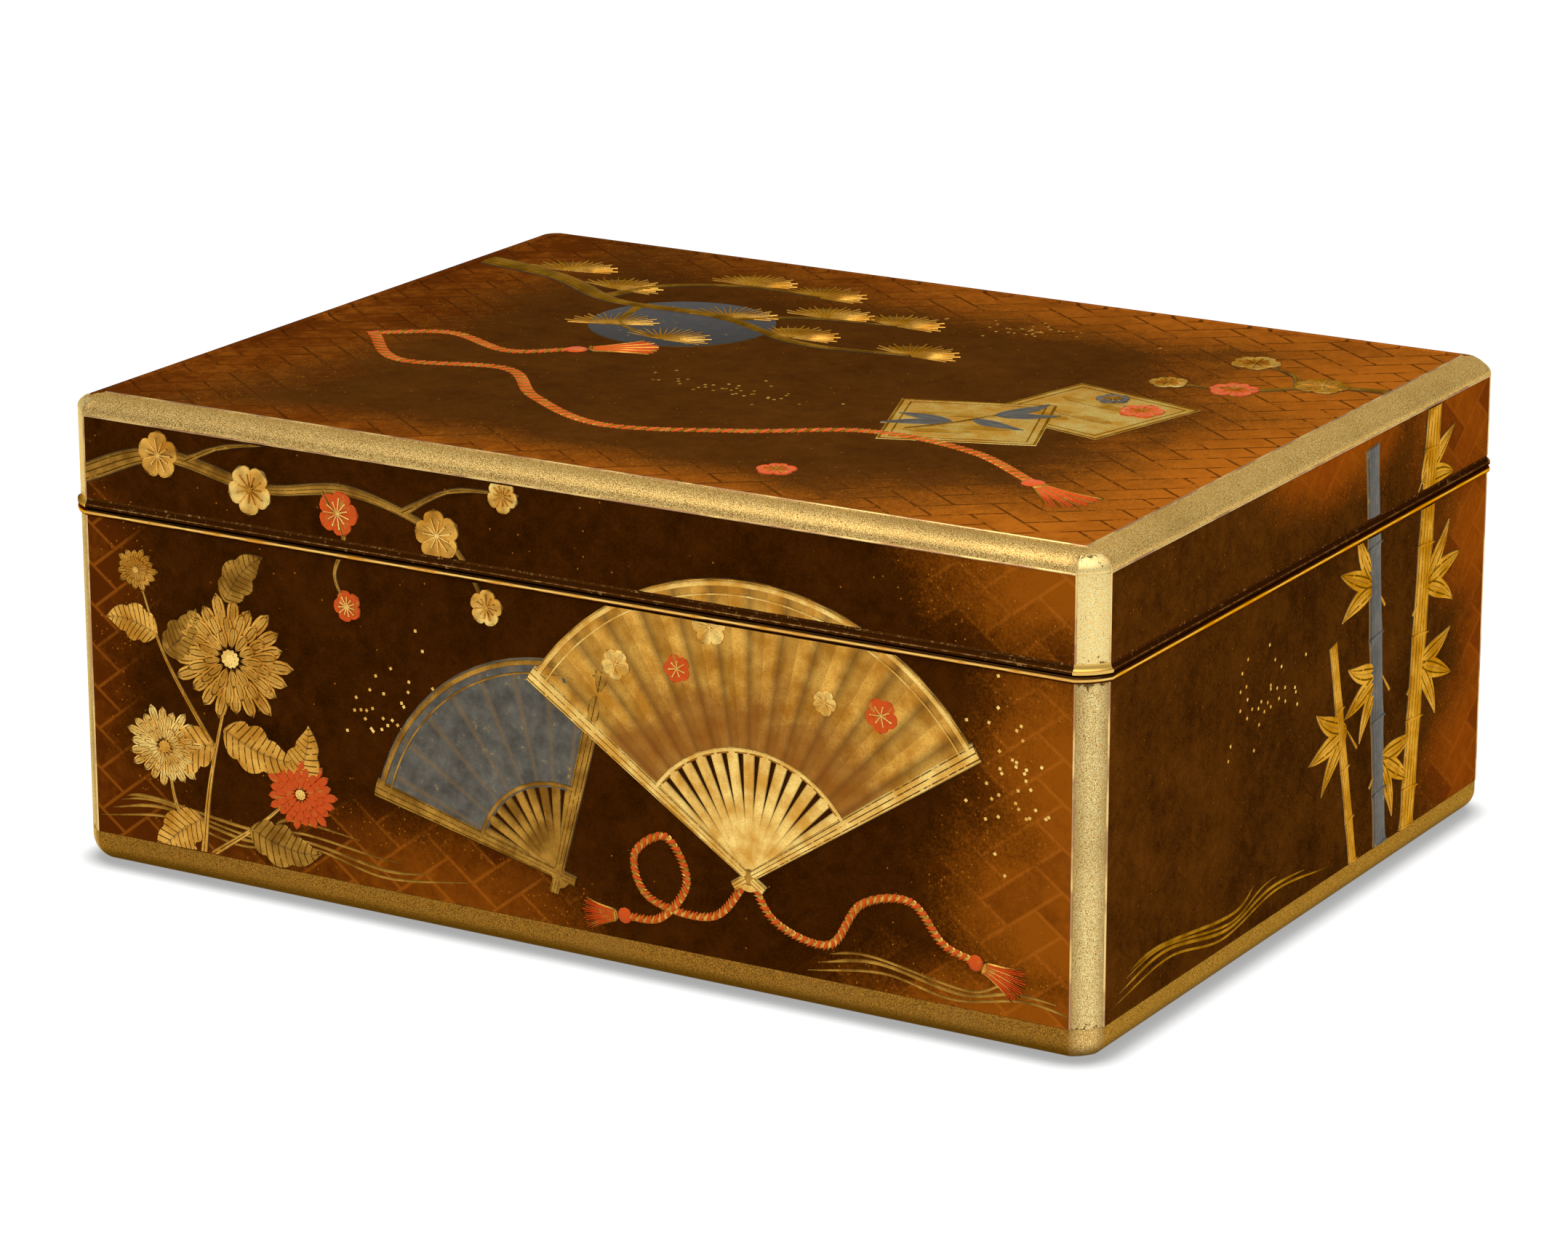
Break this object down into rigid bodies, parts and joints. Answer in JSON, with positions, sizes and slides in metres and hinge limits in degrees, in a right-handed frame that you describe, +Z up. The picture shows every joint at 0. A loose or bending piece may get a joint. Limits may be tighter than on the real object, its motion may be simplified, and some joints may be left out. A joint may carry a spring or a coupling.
{
  "type": "lacquer document box",
  "caption": "Rectangular lacquered wooden box with a flush lift-off lid, rounded edge strips, a beaded seam and an inner riser.",
  "frame": {"origin": "middle of the underside, on the surface that the box stands on", "axes": "+Z up, +X along the length to the right as seen from the front, -Y towards the front"},
  "size_m": [0.4022, 0.3072, 0.1683],
  "materials": {
    "ground_lacquer": "semi-gloss lacquer",
    "gold_powder": "gold powder in lacquer",
    "bright_gold": "polished gold lacquer",
    "dark_rim": "worn dark lacquer",
    "interior_lacquer": "sprinkled gold lacquer"
  },
  "bodies": {
    "base": {"base_floor": "interior_lacquer", "base_edge_front": "gold_powder", "base_edge_right": "gold_powder", "base_edge_back": "gold_powder", "base_edge_left": "gold_powder", "base_wall_front": "ground_lacquer", "base_wall_right": "ground_lacquer", "base_wall_back": "ground_lacquer", "base_wall_left": "ground_lacquer", "base_corner_front_right": "gold_powder", "base_corner_back_right": "gold_powder", "base_corner_back_left": "gold_powder", "base_corner_front_left": "gold_powder", "base_rim_front": "bright_gold", "base_rim_right": "bright_gold", "base_rim_back": "bright_gold", "base_rim_left": "bright_gold", "base_riser_front": "interior_lacquer", "base_riser_right": "interior_lacquer", "base_riser_back": "interior_lacquer", "base_riser_left": "interior_lacquer"},
    "lid": {"lid_panel": "ground_lacquer", "lid_edge_front": "gold_powder", "lid_edge_right": "gold_powder", "lid_edge_back": "gold_powder", "lid_edge_left": "gold_powder", "lid_wall_front": "ground_lacquer", "lid_wall_right": "ground_lacquer", "lid_wall_back": "ground_lacquer", "lid_wall_left": "ground_lacquer", "lid_corner_front_right": "gold_powder", "lid_corner_back_right": "gold_powder", "lid_corner_back_left": "gold_powder", "lid_corner_front_left": "gold_powder", "lid_rim_front": "dark_rim", "lid_rim_right": "dark_rim", "lid_rim_back": "dark_rim", "lid_rim_left": "dark_rim"}
  },
  "joints": [
    {"name": "lid_lift", "type": "slide", "parent": "base", "child": "lid", "axis": [0, 0, 1], "range_m": [0, 0.14]}
  ]
}
